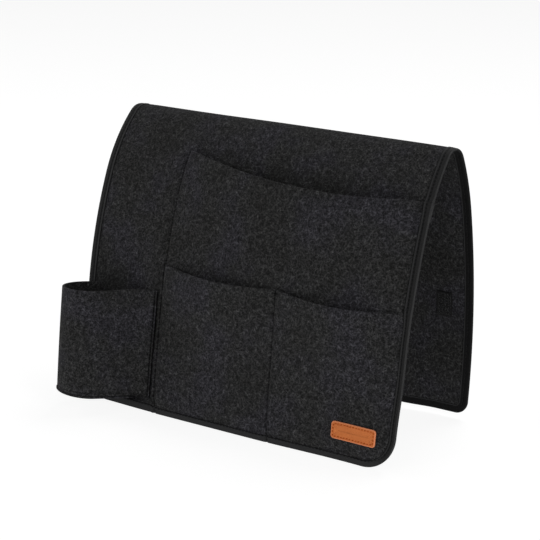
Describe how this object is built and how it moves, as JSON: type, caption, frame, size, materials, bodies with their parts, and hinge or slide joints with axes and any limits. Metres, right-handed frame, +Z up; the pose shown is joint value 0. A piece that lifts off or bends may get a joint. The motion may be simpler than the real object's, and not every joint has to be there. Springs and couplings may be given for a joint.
{
  "type": "bedside caddy",
  "caption": "Felt caddy that hangs over a bed rail or sofa arm: a folded sheet with bound edges, a large pocket, a divided lower pocket, a cup sleeve and a bare leather label.",
  "frame": {"origin": "centre of the bounding box in X and Y, on the surface that the front hem stands on", "axes": "+X across the sheet to the right as seen from the front, +Y from the front flap to the back flap, +Z up"},
  "size_m": [0.3432, 0.1986, 0.268],
  "materials": {
    "felt": "matte pressed felt, charcoal with pale fibres",
    "tape": "matte woven binding tape",
    "leather": "smooth tan, bare",
    "hook_tape": "matte hooks on woven tape"
  },
  "bodies": {
    "front_flap": {"front_panel": "felt", "crest_panel": "felt", "large_pocket": "felt", "lower_pocket": "felt", "front_binding": "tape", "crest_binding_left": "tape", "crest_binding_right": "tape", "cup_sleeve": "felt", "cup_base": "felt", "leather_label": "leather"},
    "back_flap": {"back_panel": "felt", "back_binding": "tape", "hook_patch_left": "hook_tape", "hook_patch_right": "hook_tape"}
  },
  "joints": [
    {"name": "flap_fold", "type": "hinge", "parent": "front_flap", "child": "back_flap", "pos_m": [0, 0.05377, 0.2663], "axis": [1, 0, 0], "range_deg": [-25, 150], "deforming": ["crest_panel", "crest_binding_left", "crest_binding_right"]}
  ]
}
